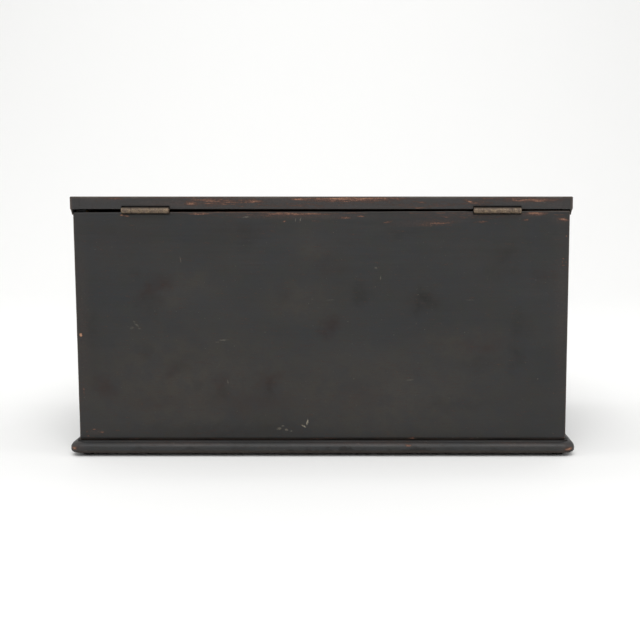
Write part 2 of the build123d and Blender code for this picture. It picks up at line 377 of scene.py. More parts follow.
paint = {
    "cool": "#181b1e",
    "warm": "#1f1d1a",
    "green": "#1b1d17",
    "umber": "#352e25",
    "red": "#240f0b",
    "dark": "#0f0c09",
    "haze": "#41312a",  # red ground dimly through thin paint
    "pale": "#948c7c",
    "line": "#2d2d2d",
    "lifted": "#3c3b3b",  # paint gone grey
    "ground": [
        (0, "#1d1a19"), (0.25, "#30241f"), (0.5, "#50382e"),
        (0.72, "#735141"), (0.88, "#8f684f"), (1, "#a9876d"),
    ],
    "thin": "#4a4039",  # paint polished thin on the arrises, with a painted highlight there
    "nail": "#5a3826",
    "roughness": 0.47,
    "roughWood": 0.7,
    "roughScuff": 0.8,
    "gloss": 0.37,
    "glossDull": 0.24,  # where the stains are
    # hardly any reflection where the shade at the base is painted
    "glossDirt": 0.02,
    "brush": (70 * mm, 1.5 * mm),  # length along the grain and width
    "fibre": (26 * mm, 0.7 * mm),  # real fibres are finer, too fine to show
    "streak": (7.5 * mm, 0.62 * mm),
    "broad": (136.4 * mm, 62 * mm),
    "mottle": 30 * mm,
    "blotch": 9 * mm,
    "patch": 26 * mm,
    "fleck": 1.7 * mm,
    "grit": 0.8 * mm,
    "ragged": (2.4 * mm, 1.1 * mm),  # size and reach of the shakes in an outline
    "clouded": (15 * mm, 26 * mm),
    "markDepth": 30 * mm,  # how far into the board a mark goes
    "rubDepth": 5 * mm,
    "edgeReach": 1.8 * mm,
    "dirtReach": (2.6 * mm, 0.8 * mm),  # painted shade from the corner: where it ends and where it is full
    "dirtLean": 0.55,  # the painted shade reaches out along the base more than up the wall
    # painted shade under the base's edge, up from its bottom: where it ends and where it is full
    "dirtUnder": (2.9 * mm, 0.7 * mm),
    "nailReach": (2.3 * mm, 0.9 * mm),
    "relief": 0.11 * mm,
}


def field(add, place, marks, plane, depth, core=0.25):
    # One value from many soft oval marks on a face across y
    total = None
    spread = 1.15  # how far past its size a mark fades out
    for x, z, wide, high, power, *turn in marks:
        oval = add("TexGradient", {"Vector": place}, gradient_type="SPHERICAL")
        oval.texture_mapping.vector_type = "TEXTURE"
        oval.texture_mapping.translation = (x * mm, plane, z * mm)
        oval.texture_mapping.rotation = (0, math.radians(sum(turn)), 0)
        oval.texture_mapping.scale = (spread * wide * mm, spread * depth, spread * high * mm)
        spot = add("MapRange", {0: oval.outputs["Fac"], 2: 1 - core / spread, 4: power},
                   interpolation_type="SMOOTHSTEP")
        total = add("Math", {0: total, 1: spot}, "MAXIMUM") if total else spot
    return total


def nearArris(add, coord, low, high):
    # Distance from a point on a board to its nearest arris
    centred = add("VectorMath", {0: coord, 1: (low + high) / 2}, "SUBTRACT")
    away = add("VectorMath", {0: centred}, "ABSOLUTE")
    gap = add("VectorMath", {0: (high - low) / 2, 1: away}, "SUBTRACT")
    x, y, z = add("SeparateXYZ", {0: gap}).outputs
    total = add("Math", {0: x, 1: y}, "ADD")
    total = add("Math", {0: total, 1: z}, "ADD")
    most = add("Math", {0: x, 1: y}, "MAXIMUM")
    most = add("Math", {0: most, 1: z}, "MAXIMUM")
    return add("Math", {0: total, 1: most}, "SUBTRACT")


def agedPaint(add, coord, grain, box, wear, lift=0, reach=1.3 * mm, plane=0, marks=None, heads=(),
              grimy=False):
    # The box is that of the whole part of the object, whose arrises are worn. Marks lie on a plane
    # across y, heads are the places of nails just under the paint, and one shaded at the base gets painted
    # shade where it meets the base.
    p = paint
    marks = marks or {}
    made = {}
    for kind, detail, rough in (
        ("mottle", 4, 0.55), ("blotch", 5, 0.6), ("patch", 3, 0.6), ("fleck", 3, 0.6), ("grit", 2, 0.6),
    ):
        even = {"Vector": coord, "Scale": 1 / p[kind], "Detail": detail, "Roughness": rough}
        made[kind] = add("TexNoise", even)
    for kind, detail, rough in (("brush", 5, 0.62), ("fibre", 4, 0.65), ("streak", 6, 0.7), ("broad", 4, 0.6)):
        drawn = add("Mapping", {"Vector": coord, "Scale": along(grain, *p[kind])})
        made[kind] = add("TexNoise", {"Vector": drawn, "Scale": 1, "Detail": detail, "Roughness": rough})

    # Outlines for the marks
    for kind, detail, rough in (("ragged", 3, 0.5), ("clouded", 4, 0.6)):
        size, far = p[kind]
        shake = add("TexNoise", {"Vector": coord, "Scale": 1 / size, "Detail": detail, "Roughness": rough})
        shake = add("VectorMath", {0: shake.outputs["Color"], 1: (0.5, 0.5, 0.5)}, "SUBTRACT")
        shake = add("VectorMath", {0: shake, "Scale": far}, "SCALE")
        made[kind] = add("VectorMath", {0: coord, 1: shake}, "ADD")
    mottle, blotch, patch, flecks, grit, brush, fibre, streak, broad, ragged, clouded = made.values()

    # Paint colour: cool to warm with the mottling, greenish in the blotches
    warmth = add("MapRange", {0: mottle, 1: 0.36, 2: 0.66, 4: 0.85})
    colour = add("Mix", {0: warmth, 6: tone(p["cool"]), 7: tone(p["warm"])}, data_type="RGBA")
    greenish = add("MapRange", {0: blotch, 1: 0.46, 2: 0.72, 4: 0.75})
    colour = add("Mix", {0: greenish, 6: colour, 7: tone(p["green"])}, data_type="RGBA")
    cloud = add("MapRange", {0: blotch, 1: 0.3, 2: 0.62, 3: 0.3})
    flaky = add("MapRange", {0: flecks, 1: 0.36, 2: 0.64, 3: 0.3, 4: 1.35})
    dull = None
    for kind, shade, place, texture, amount in (
        ("warms", "umber", clouded, cloud, 0.8),
        ("reds", "red", clouded, cloud, 0.9),
        ("darks", "dark", clouded, cloud, 0.9),
        ("hazes", "haze", ragged, flaky, 0.75),
    ):
        if kind in marks:
            stain = field(add, place, marks[kind], plane, p["markDepth"], 0)
            for share in (texture, amount):
                stain = add("Math", {0: stain, 1: share}, "MULTIPLY")
            colour = add("Mix", {0: stain, 6: colour, 7: tone(p[shade])}, data_type="RGBA")
            if kind in ("reds", "darks"):
                dull = add("Math", {0: dull, 1: stain}, "MAXIMUM") if dull else stain

    # Painted shade in the corner where the case stands on the base, and under the base's edge
    if grimy:
        away = add("VectorMath", {0: coord}, "ABSOLUTE")
        out = add("VectorMath", {0: away, 1: (caseHalf, backFace, baseHigh.z)}, "SUBTRACT")
        x, y, z = add("SeparateXYZ", {0: out}).outputs
        plan = add("Math", {0: x, 1: y}, "MAXIMUM")
        plan = add("Math", {0: plan}, "ABSOLUTE")
        rise = add("Math", {0: z}, "ABSOLUTE")
        corner = add("Math", {0: plan, 1: p["dirtLean"], 2: rise}, "MULTIPLY_ADD")
        baseShade = add("MapRange", {0: corner, 1: p["dirtReach"][0], 2: p["dirtReach"][1]})
        level = add("SeparateXYZ", {0: coord}).outputs[2]
        ends, full = p["dirtUnder"]
        under = add("MapRange", {0: level, 1: baseLow.z + ends, 2: baseLow.z + full, 4: 0.85})
        baseShade = add("Math", {0: baseShade, 1: under}, "MAXIMUM")
        colour = add("Mix", {0: baseShade, 6: colour, 7: tone(p["dark"])}, data_type="RGBA")
        dull = add("Math", {0: dull, 1: baseShade}, "MAXIMUM") if dull else baseShade

    # Brush lines hold the light a little
    lines = add("MapRange", {0: brush, 1: 0.3, 2: 0.72, 4: 0.3})
    colour = add("Mix", {0: lines, 6: colour, 7: tone(p["line"])}, data_type="RGBA")

    # The arrises are lighter, polished thin and with a painted highlight; the flats go a little grey in broad
    # patches
    edge = nearArris(add, coord, *box)
    broad = add("MapRange", {0: broad, 1: 0.36, 2: 0.64, 3: lift, 4: lift + 0.13})
    colour = add("Mix", {0: broad, 6: colour, 7: tone(p["lifted"])}, data_type="RGBA")
    thin = add("MapRange", {0: edge, 1: reach, 2: 0.15 * reach, 4: 0.8}, interpolation_type="SMOOTHSTEP")
    colour = add("Mix", {0: thin, 6: colour, 7: tone(p["thin"])}, data_type="RGBA")

    # Rubbed through: the arrises, patchily, and the marks, broken into streaks along the grain
    patch = add("MapRange", {0: patch, 1: 0.36, 2: 0.64, 3: 0.1})
    rub = add("MapRange", {0: edge, 1: p["edgeReach"], 2: 0, 4: wear}, interpolation_type="SMOOTHSTEP")
    rub = add("Math", {0: rub, 1: patch}, "MULTIPLY")
    if "rubs" in marks:
        rubbed = field(add, ragged, marks["rubs"], plane, p["rubDepth"], 0.1)
        rub = add("Math", {0: rub, 1: rubbed}, "MAXIMUM")
    for texture, least, most in ((streak, -0.72, 0.5), (grit, -0.3, 0.3)):
        uneven = add("MapRange", {0: texture, 1: 0.3, 2: 0.7, 3: least, 4: most})
        rub = add("Math", {0: rub, 1: uneven}, "ADD")
    rub = add("MapRange", {0: rub, 1: 0.06, 2: 1.3, 4: 0.92})
    ground = add("ValToRGB", {0: rub}, stops=p["ground"])
    through = add("MapRange", {0: rub, 1: 0.02, 2: 0.3})
    colour = add("Mix", {0: through, 6: colour, 7: ground}, data_type="RGBA")
    rough = add("MapRange", {0: brush, 1: 0.3, 2: 0.7, 3: p["roughness"] - 0.07, 4: p["roughness"] + 0.09})
    rough = add("Mix", {0: through, 2: rough, 3: p["roughWood"]})

    # Scuffs: pale, dry, on the surface of the paint
    scuff = add("MapRange", {0: flecks, 1: 0.7, 2: 0.78, 4: 0.4})
    if "scuffs" in marks:
        scraped = field(add, ragged, marks["scuffs"], plane, p["markDepth"], 0.1)
        broken = add("MapRange", {0: grit, 1: 0.36, 2: 0.58, 3: 0.1})
        scraped = add("Math", {0: scraped, 1: broken}, "MULTIPLY")
        scuff = add("Math", {0: scuff, 1: scraped}, "MAXIMUM")
    colour = add("Mix", {0: scuff, 6: colour, 7: tone(p["pale"])}, data_type="RGBA")
    rough = add("Mix", {0: scuff, 2: rough, 3: p["roughScuff"]})

    # Relief: fibres that show through the paint, brush ridges and grit
    relief = 0
    for texture, share in ((fibre, 0.5), (brush, 0.8), (grit, 0.12)):
        relief = add("Math", {0: texture, 1: share, 2: relief}, "MULTIPLY_ADD")

    # Nails set just under the paint: a dimple, with some rust come through
    if heads:
        over = None
        for head in heads:
            gone = add("VectorMath", {0: ragged, 1: head}, "DISTANCE").outputs["Value"]
            dip = add("MapRange", {0: gone, 1: p["nailReach"][0], 2: p["nailReach"][1]},
                      interpolation_type="SMOOTHSTEP")
            over = add("Math", {0: over, 1: dip}, "MAXIMUM") if over else dip
        relief = add("Math", {0: over, 1: -1.6, 2: relief}, "MULTIPLY_ADD")
        rusted = over
        for share in (cloud, 0.8):
            rusted = add("Math", {0: rusted, 1: share}, "MULTIPLY")
        colour = add("Mix", {0: rusted, 6: colour, 7: tone(p["nail"])}, data_type="RGBA")
    bump = add("Bump", {"Height": relief, "Strength": 0.5, "Distance": p["relief"]})
    gloss = p["gloss"]
    if dull:
        gloss = add("MapRange", {0: dull, 3: p["gloss"], 4: p["glossDull"]})
    if grimy:
        gloss = add("Mix", {0: baseShade, 2: gloss, 3: p["glossDirt"]})
    return {"Base Color": colour, "Roughness": rough, "Specular IOR Level": gloss, "Normal": bump}


# Old pine, planed by hand and never finished: honey brown gone dull, darker summer wood in long lines

pine = {
    "early": "#ab9676",
    "late": "#7d6146",
    "dull": "#6a5440",
    "roughness": 0.74,
    "ring": (260 * mm, 4.2 * mm),
    "rings": [(0.42, 0), (0.55, 0.85), (0.6, 0.15), (0.72, 0.7)],
    "fibre": (18 * mm, 0.45 * mm),
    "age": 70 * mm,
    "relief": 0.12 * mm,
}


def agedPine(add, coord, grain):
    p = pine
    ringed = add("Mapping", {"Vector": coord, "Scale": along(grain, *p["ring"])})
    ring = add("TexNoise", {"Vector": ringed, "Scale": 1, "Detail": 3, "Roughness": 0.5, "Distortion": 0.4})
    fibred = add("Mapping", {"Vector": coord, "Scale": along(grain, *p["fibre"])})
    fibre = add("TexNoise", {"Vector": fibred, "Scale": 1, "Detail": 4, "Roughness": 0.6})
    age = add("TexNoise", {"Vector": coord, "Scale": 1 / p["age"], "Detail": 4, "Roughness": 0.6})
    colour = tone(p["early"])
    for amount, shade in (
        (add("ValToRGB", {0: ring}, stops=p["rings"]), "late"),
        (add("MapRange", {0: fibre, 1: 0.35, 2: 0.6, 3: 0.5, 4: 0}), "late"),
        (add("MapRange", {0: age, 1: 0.35, 2: 0.7, 3: 0.1, 4: 0.75}), "dull"),
    ):
        colour = add("Mix", {0: amount, 6: colour, 7: tone(p[shade])}, data_type="RGBA")
    relief = add("Math", {0: ring, 1: 0.6, 2: fibre}, "MULTIPLY_ADD")
    bump = add("Bump", {"Height": relief, "Strength": 0.6, "Distance": p["relief"]})
    return {"Base Color": colour, "Roughness": p["roughness"], "Specular IOR Level": 0.35, "Normal": bump}


# Rolled sheet brass, long tarnished: pale brown patina with pits, metal showing dully where it is handled, and
# painted shade on the knuckles where they tuck under the lid

brass = {
    "metal": "#97846c",
    "patina": "#5c4c40",
    "shade": "#2c231b",
    "rust": "#5f3a22",
    "pit": 0.55 * mm,
    "cloud": 3.2 * mm,
    "grime": (0.7 * mm, 2.3 * mm),  # painted shade under the lid, above the pin's axis: where it starts and where it is full
    "relief": 0.15 * mm,
}


def tarnishedBrass(add, coord):
    p = brass
    cloud = add("TexNoise", {"Vector": coord, "Scale": 1 / p["cloud"], "Detail": 5, "Roughness": 0.65})
    pits = add("TexNoise", {"Vector": coord, "Scale": 1 / p["pit"], "Detail": 3, "Roughness": 0.6})
    bare = add("MapRange", {0: cloud, 1: 0.4, 2: 0.62, 3: 0.05, 4: 0.9})
    level = add("SeparateXYZ", {0: coord}).outputs[2]
    starts, full = [hingeSpots["left"].z + above for above in p["grime"]]
    colour = tone(p["patina"])
    for amount, shade in (
        (bare, "metal"),
        (add("MapRange", {0: pits, 1: 0.4, 2: 0.54, 3: 0.9, 4: 0}), "shade"),
        # painted shade on the top of the knuckles, under the lid
        (add("MapRange", {0: level, 1: starts, 2: full, 4: 0.85}), "shade"),
        (add("MapRange", {0: cloud, 1: 0.3, 2: 0.36, 3: 0.6, 4: 0}), "rust"),
    ):
        colour = add("Mix", {0: amount, 6: colour, 7: tone(p[shade])}, data_type="RGBA")
    metallic = add("Math", {0: bare, 1: 0.7}, "MULTIPLY")
    rough = add("MapRange", {0: cloud, 1: 0.3, 2: 0.7, 3: 0.66, 4: 0.42})
    relief = add("Math", {0: pits, 1: 0.7, 2: cloud}, "MULTIPLY_ADD")
    bump = add("Bump", {"Height": relief, "Strength": 0.7, "Distance": p["relief"]})
    return {"Base Color": colour, "Metallic": metallic, "Roughness": rough, "Normal": bump}


# Cut iron, rusted brown-black: dull, granular, with orange bloom

iron = {"scale": "#2b211c", "rust": "#6b3a1f", "grain": 0.7 * mm, "roughness": 0.68, "relief": 0.12 * mm}


def rustedIron(add, coord):
    p = iron
    grain = add("TexNoise", {"Vector": coord, "Scale": 1 / p["grain"], "Detail": 5, "Roughness": 0.65})
    bloom = add("MapRange", {0: grain, 1: 0.42, 2: 0.66})
    colour = add("Mix", {0: bloom, 6: tone(p["scale"]), 7: tone(p["rust"])}, data_type="RGBA")
    metallic = add("MapRange", {0: bloom, 3: 0.75, 4: 0})
    bump = add("Bump", {"Height": grain, "Strength": 0.8, "Distance": p["relief"]})
    return {"Base Color": colour, "Metallic": metallic, "Roughness": p["roughness"], "Normal": bump}


pineX = newMaterial("agedPineAcross", agedPine, "x")
pineY = newMaterial("agedPineDeep", agedPine, "y")
hingeBrass = newMaterial("tarnishedBrass", tarnishedBrass)
nailIron = newMaterial("rustedIron", rustedIron)


# Marks on the back, in mm: x from the middle of the box, z up from the floor, half width, half height,
# strength and, where one is not level, its turn in degrees anticlockwise

backMarks = {
    "hazes": [
        (15, 197.8, 72, 3.8, 0.75), (-88, 192.8, 40, 4, 0.6, 3), (-165, 198.6, 28, 3.2, 0.5),
        (-120, 198.5, 90, 4.5, 0.35), (-193, 194.5, 9, 5, 0.5), (188, 19.5, 12, 3.5, 0.5),
        (60, 200.5, 140, 1.6, 0.6), (197, 110, 9, 110, 0.3), (-197, 110, 9, 110, 0.3),
    ],
    "rubs": [
        (98, 199.6, 15, 1.5, 0.9), (22, 199.5, 46, 1.9, 0.85), (40, 198.6, 60, 2.8, 0.42),
        (-19, 196.5, 8, 1.2, 0.9), (-32, 197.7, 4, 1.1, 0.85), (-54, 192.9, 5.5, 1.3, 0.85, 10),
        (-93, 191.6, 18, 1.4, 1, 3), (-84, 190, 10, 1, 0.7), (-93, 191.6, 26, 3, 0.45, 3),
        (-131, 192.9, 7, 1.3, 0.75), (-173, 199.7, 16, 1.9, 0.95), (-166, 194.5, 4, 1.2, 0.85),
        (-196, 194.9, 6, 2, 1, -10), (30, 193.7, 1.8, 0.9, 0.85), (5, 193.7, 7, 0.9, 0.75),
        (158, 197.9, 3.4, 1.2, 1), (66, 201, 60, 0.9, 0.7), (120, 201.2, 70, 0.7, 0.6),
        (-120, 200, 80, 0.7, 0.6), (-25, 200.2, 15, 1.1, 0.62), (198, 100.5, 1.7, 1.9, 2),
        (197, 53.9, 1.1, 5.5, 0.75, 5), (189.4, 21.6, 2.5, 0.9, 0.9), (183, 19.4, 2.6, 0.9, 0.9),
        (195.5, 19.6, 1.6, 1, 0.9), (194.5, 16.3, 1.8, 0.9, 0.85), (-74, 14.5, 5, 1.1, 0.9),
        (161.6, 198.2, 2.5, 0.9, 1.1), (-192, 198.6, 8, 1.4, 0.6), (-110, 197.5, 60, 3.2, 0.36),
        (-112, 199, 20.2, 0.6, 0.45), (-197, 163.1, 1.9, 0.6, 0.85), (-196, 160.5, 0.6, 2.1, 0.8),
        (-199, 160.5, 0.6, 2.1, 0.7), (-197, 157.7, 1.8, 0.6, 0.85), (-199, 181.6, 0.7, 2.1, 0.8),
        (193, 22.8, 2, 0.6, 0.5), (149, 43, 1.1, 2.4, 0.35, 8),
    ],
    "scuffs": [
        (152, 108.8, 2.8, 1, 0.2, -38), (150, 106, 1.8, 0.7, 0.18, -20), (154, 111.6, 1.3, 0.8, 0.16, -30),
        (156, 106.5, 2.2, 1.4, 0.13, 10), (81, 96.4, 4.9, 0.7, 0.22, 3), (86, 94.7, 2.4, 0.5, 0.16),
        (12.6, 27.6, 0.8, 3, 1.2, -8), (15.5, 24.2, 2.4, 0.7, 1, -28), (36, 22.4, 2.3, 1.2, 0.44, 10),
        (30, 21.3, 1.8, 1.1, 0.44, -20), (26, 20.2, 1.1, 0.6, 0.5), (33, 24.6, 1.5, 0.5, 0.4),
        (-48, 147.7, 0.6, 2.1, 0.3), (-44, 155.6, 1.3, 1, 0.2), (61, 196.9, 4.1, 0.5, 0.5, 3),
        (17, 195, 0.5, 2.1, 0.55, -14), (21, 194.5, 0.4, 1.6, 0.4, -12), (78, 61.4, 0.6, 2.4, 0.3, 6),
        (-7, 129.4, 4.1, 0.4, 0.16, 5), (-121, 129.4, 4.9, 0.4, 0.13, -4), (115, 162.1, 0.5, 3.2, 0.2, 12),
        (-72, 63.1, 4.1, 0.4, 0.22, 3),
    ],
    "reds": [
        (136, 139.2, 20, 11, 0.75, 28), (124, 68.1, 11, 8, 0.5, 10), (178, 56.4, 18, 11, 0.6, -35),
        (84, 62.3, 9, 13, 0.6), (45, 62, 14, 13, 0.7, 20), (-6, 106.3, 11, 14, 0.8, 10),
        (-133, 91.4, 30, 8, 0.5, 4), (-7, 155.6, 16, 12, 0.25), (138, 44.7, 34, 11, 0.35),
        (-182, 149.9, 12, 12, 0.3), (70, 186.4, 40, 12, 0.2), (164, 178.3, 38, 20, 0.2),
        (-35, 48, 34, 14, 0.3), (60, 44, 60, 14, 0.4),
    ],
    "darks": [
        (142, 126.9, 14, 15, 0.55, 25), (30, 133.5, 12, 10, 0.3), (-32, 133.5, 11, 11, 0.45),
        (-81, 127.7, 18, 14, 0.75), (-159, 82.3, 8, 14, 0.5), (81, 52, 11, 9, 0.5), (44, 56, 9, 11, 0.6),
        (118, 72, 14, 9, 0.4), (146, 88.1, 9, 11, 0.35), (-130, 75.6, 20, 8, 0.35),
        (103, 58.9, 7, 10, 0.35), (-149, 162.1, 17, 20, 0.35), (-110, 42.2, 44, 6, 0.35),
        (-64, 186.4, 20, 8, 0.3), (-162, 104.7, 12, 24, 0.35), (190, 104.7, 9, 30, 0.25),
        (-6, 104, 7, 9, 0.35), (80, 20, 90, 9, 0.5), (60, 185, 12, 14, 0.3), (152, 152, 9, 9, 0.3),
    ],
    "warms": [
        (110, 58, 130, 66, 0.8), (-40, 50, 150, 56, 0.75), (110, 138, 48, 20, 0.6, 20),
        (20, 128, 42, 26, 0.6), (-110, 92, 60, 22, 0.6, 5), (8, 172, 22, 28, 0.45),
    ],
}
lidMarks = {
    "hazes": [
        (0, 206.5, 230, 9, 0.5), (118, 207.5, 52, 5, 0.9), (88, 208.6, 52, 5.6, 0.95),
        (0, 210.5, 105, 4, 0.85), (-10, 212.2, 205, 2.6, 0.75), (-165, 209.5, 42, 4.2, 0.8),
        (-120, 208.5, 20, 4.5, 0.6), (-80, 204.8, 22, 2.4, 0.6), (175, 211, 30, 3, 0.5),
        (-190, 206.5, 14, 5, 0.5), (12, 206, 40, 3, 0.4),
    ],
    "rubs": [
        (84, 208.4, 40, 3.6, 0.66), (106, 208.2, 9, 2.6, 1), (58, 209.8, 15, 2.4, 0.9),
        (90, 210.2, 30, 2.2, 0.85), (94, 210.8, 9, 1.4, 0.6), (-25, 211.6, 62, 1.9, 1.1),
        (-22, 210.2, 58, 2.4, 0.72), (17, 211.4, 14, 1.7, 0.95), (-7, 210.5, 17, 1.8, 0.9),
        (-51, 212, 26, 1.3, 0.95), (-121, 209, 11, 1.6, 0.95, -12), (-127, 208.4, 16, 3.4, 0.5, -6),
        (-172, 210.5, 34, 2.3, 0.98), (-150, 211.8, 60, 1.5, 0.55), (-79, 204.2, 6, 1, 0.85),
        (168, 212, 12, 1.4, 0.72), (135, 212.3, 15, 0.9, 0.6), (66, 205.8, 10, 1.3, 0.6),
        (-76, 209, 12, 1.5, 0.5), (90, 212.4, 45, 1.1, 0.6), (-90, 207, 60, 3.5, 0.36),
        (20, 206.5, 60, 3, 0.36),
    ],
}
baseMarks = {
    "darks": [
        # The first, a long band low along the base's bottom edge, is painted shade under the base; the others
        # are stains
        (0, 3, 230, 3.4, 1.6), (60, 7, 30, 2.2, 0.4, 2), (-120, 6.6, 26, 2, 0.4, -2),
    ],
    "hazes": [
        (120, 10.6, 60, 2.2, 0.75), (-40, 10.8, 80, 2, 0.8), (-165, 10.4, 36, 2.2, 0.8),
        (202, 8, 9, 5, 0.7), (-202, 8, 9, 5, 0.7),
    ],
    "rubs": [
        (-71, 9.6, 4.4, 1.3, 1.25), (-75, 15.6, 3.2, 0.6, 0.7), (207, 7.2, 6.5, 2.4, 1.8),
        (-204, 6.8, 7, 2.1, 1.3, 8), (158, 6, 0.6, 2.4, 0.5), (120, 11.6, 34, 0.7, 0.5),
        (-30, 11.8, 50, 0.6, 0.55), (-150, 11.5, 30, 0.7, 0.5), (60, 13.4, 130, 0.6, 0.62),
        (-100, 13.4, 90, 0.6, 0.5),
    ],
}


# Case boards: the front and back lap the ends, so the joints show as fine lines near the corners

boards = {
    "arris": 0.75 * mm,
    "joint": 0.25 * mm,
    "pitch": 8 * mm,
    "wearDepth": 0.3 * mm,
    "wearSize": 14 * mm,
    "backTopRight": 200.7 * mm,  # the back's top edge runs down towards its +X end
}
gains = {
    "length": 39.1 * mm,
    "depth": 9.2 * mm,  # in from the pin's axis
    "bed": 2.48 * mm,  # from the pin's axis to the bottom
    "clear": 6 * mm,
    "pared": 2.6 * mm,
    "aboveBarrel": 1.25 * mm,
    "belowBarrel": 0.9 * mm,
}
nails = {"headDepth": 0.3 * mm, "spacing": 6 * mm}
front = Vector((0, -1, 0))


def nailHeads(name, axis, side=0):
    # Middles of the nail heads at a node's low end along the axis, or at its high end for 1
    heads = []
    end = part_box(name)[side][axis]
    verts = [v.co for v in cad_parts[name].data.vertices]
    for co in (co for co in verts if abs(co[axis] - end) < nails["headDepth"]):
        near = [h for h in heads if (h[0] - co).length < nails["spacing"]]
        if near:
            near[0].append(co)
        else:
            heads.append([co])
    return [sum(head, Vector()) / len(head) for head in heads]


def hingeGains(g, sign):
    # Recesses for the leaves in the edge of a board above the pins, or below them for -1
    cutters = []
    for spot in hingeSpots.values():
        near = spot.z - sign * g["clear"]
        far = spot.z + sign * g["bed"]
        for inner in (spot.y - g["depth"], backFace - g["pared"]):
            cutters.append(boxMesh(
                (spot.x - g["length"] / 2, inner, min(near, far)),
                (spot.x + g["length"] / 2, spot.y + g["clear"], max(near, far)),
            ))
        # The wood is pared away further along the barrel
        room = cutters[-1]
        beyond = g["aboveBarrel"] if sign > 0 else -g["belowBarrel"]
        rim = [v for v in room.verts if abs(v.co.z - far) < hair]
        bmesh.ops.translate(room, verts=rim, vec=(0, 0, beyond))
    return cutters


def caseBoard(b, name, node, materials, inside, joints=(), slope=0, cutters=()):
    low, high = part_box(node)
    bm = boxMesh(low, high)
    for v in bm.verts:
        if v.co.z > (low.z + high.z) / 2 and v.co.x > 0:
            v.co.z -= slope
    bm.normal_update()

    def tight(m, n):
        return any(m.dot(j) > 0.9 or n.dot(j) > 0.9 for j in (inside, *joints))

    softened(bm, lambda m, n: not tight(m, n), b["arris"], 4)
    softened(bm, tight, b["joint"], 2)
    sliced(bm, range(3), low, high, b["pitch"])
    worn(bm, low, high, b, low.x * 7)
    if cutters:
        bm = carved(bm, *cutters)
    return finishPiece(bm, name, "case", materials, node, lambda c, n: (
        n.dot(inside) > 0.9 or (abs(n.z) > 0.9 and c.z < low.z + 0.1 * mm)
    ))


caseBox = (Vector((-caseHalf, frontFace, baseHigh.z)), Vector((caseHalf, backFace, backHigh.z)))
backPaint = newMaterial("brushedPaintBack", agedPaint, "x", caseBox, 0.5, plane=backFace, marks=backMarks,
                        grimy=True)
frontPaint = newMaterial("brushedPaintFront", agedPaint, "x", caseBox, 0.85,
                         heads=nailHeads("front_nails", 1), grimy=True)
caseBoard(boards, "backBoard", "back_board", [backPaint, pineX], front,
          slope=backHigh.z - boards["backTopRight"], cutters=hingeGains(gains, -1))
caseBoard(boards, "frontBoard", "front_board", [frontPaint, pineX], -front)
endPaint = newMaterial("brushedPaintEnds", agedPaint, "y", caseBox, 0.8, grimy=True)
for side, sign in (("left", 1), ("right", -1)):
    inward = Vector((sign, 0, 0))
    caseBoard(boards, side + "EndBoard", side + "_end_board", [endPaint, pineY], inward, (-front, front))
print("case boards made")


# Base board: a thumbnail moulding on all four edges, corners rubbed round

base = {
    "lowerRound": 2.4 * mm,
    "quarterRadius": 4.843 * mm,
    "quarterHeight": 4.8 * mm,
    "quarterSteps": 8,
    "ledge": 3.4 * mm,  # beyond the case
    "step": 0.9 * mm,
    "ease": 0.15 * mm,
    "corner": 9 * mm,
    "paintedUnder": 15 * mm,  # the brush came round under the edge
    "pitch": 9 * mm,
    "wearDepth": 0.22 * mm,
    "wearSize": 11 * mm,
    "wearBeyond": 1 * mm,  # the case
    "nailPocket": (3.1 * mm, 2.1 * mm, 0.2 * mm),
}


def baseBoard(b):
    low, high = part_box("base_board")
    # Each ring is a distance out from the board's edge and a level
    rings = [(-inward, low.z + up) for inward, up in roundUnder(b["lowerRound"], 4)]
    spring = high.z - b["step"] - b["quarterHeight"]
    radius = b["quarterRadius"]
    sweep = math.asin(b["quarterHeight"] / radius)
    for i in range(b["quarterSteps"] + 1):
        turn = sweep * i / b["quarterSteps"]
        rings.append((-radius * (1 - math.cos(turn)), spring + radius * math.sin(turn)))
    ledge = caseHalf + b["ledge"] - high.x
    rings.append((ledge - b["ease"], high.z - b["ease"]))
    rings.append((ledge - 2 * b["ease"], high.z))
    rings.append((caseHalf - wall * 0.5 - high.x, high.z))

    bm = bmesh.new()
    bmesh.ops.create_grid(bm, x_segments=1, y_segments=1, size=1)
    bmesh.ops.scale(bm, verts=bm.verts, vec=(high.x + rings[0][0], high.y + rings[0][0], 1))
    bmesh.ops.translate(bm, verts=bm.verts, vec=(0, 0, rings[0][1]))
    bmesh.ops.bevel(bm, geom=bm.verts[:], offset=b["corner"], offset_type="OFFSET", segments=6,
                    profile=0.5, affect="VERTICES", material=-1)
    first = top = bm.faces[:]
    for (before, levelBefore), (after, level) in zip(rings, rings[1:]):
        top, verts = drawnOut(bm, top, first)
        for v in verts:
            v.co.x += math.copysign(1, v.co.x) * (after - before)
            v.co.y += math.copysign(1, v.co.y) * (after - before)
            v.co.z += level - levelBefore
    bmesh.ops.recalc_face_normals(bm, faces=bm.faces)
    sliced(bm, (0, 1), low, high, b["pitch"])
    for v in bm.verts:
        amount = b["wearDepth"] * rubbing(v.co / b["wearSize"], 2.7, 0.2)
        if low.z + hair < v.co.z < high.z - hair:
            if abs(v.co.x) > caseHalf + b["wearBeyond"]:
                v.co.x -= math.copysign(amount, v.co.x)
            if abs(v.co.y) > backFace + b["wearBeyond"]:
                v.co.y -= math.copysign(amount, v.co.y)
    pockets = []
    wide, narrow, deep = b["nailPocket"]
    for head in nailHeads("base_nails", 2):
        half = Vector((wide / 2, narrow / 2, 0))
        if abs(head.x) > caseHalf - wall:
            half = half.yxz
        spot = Vector((head.x, head.y, low.z))
        pockets.append(boxMesh(spot - half - Vector((0, 0, 1 * mm)), spot + half + Vector((0, 0, deep))))
    return carved(bm, joined(pockets))


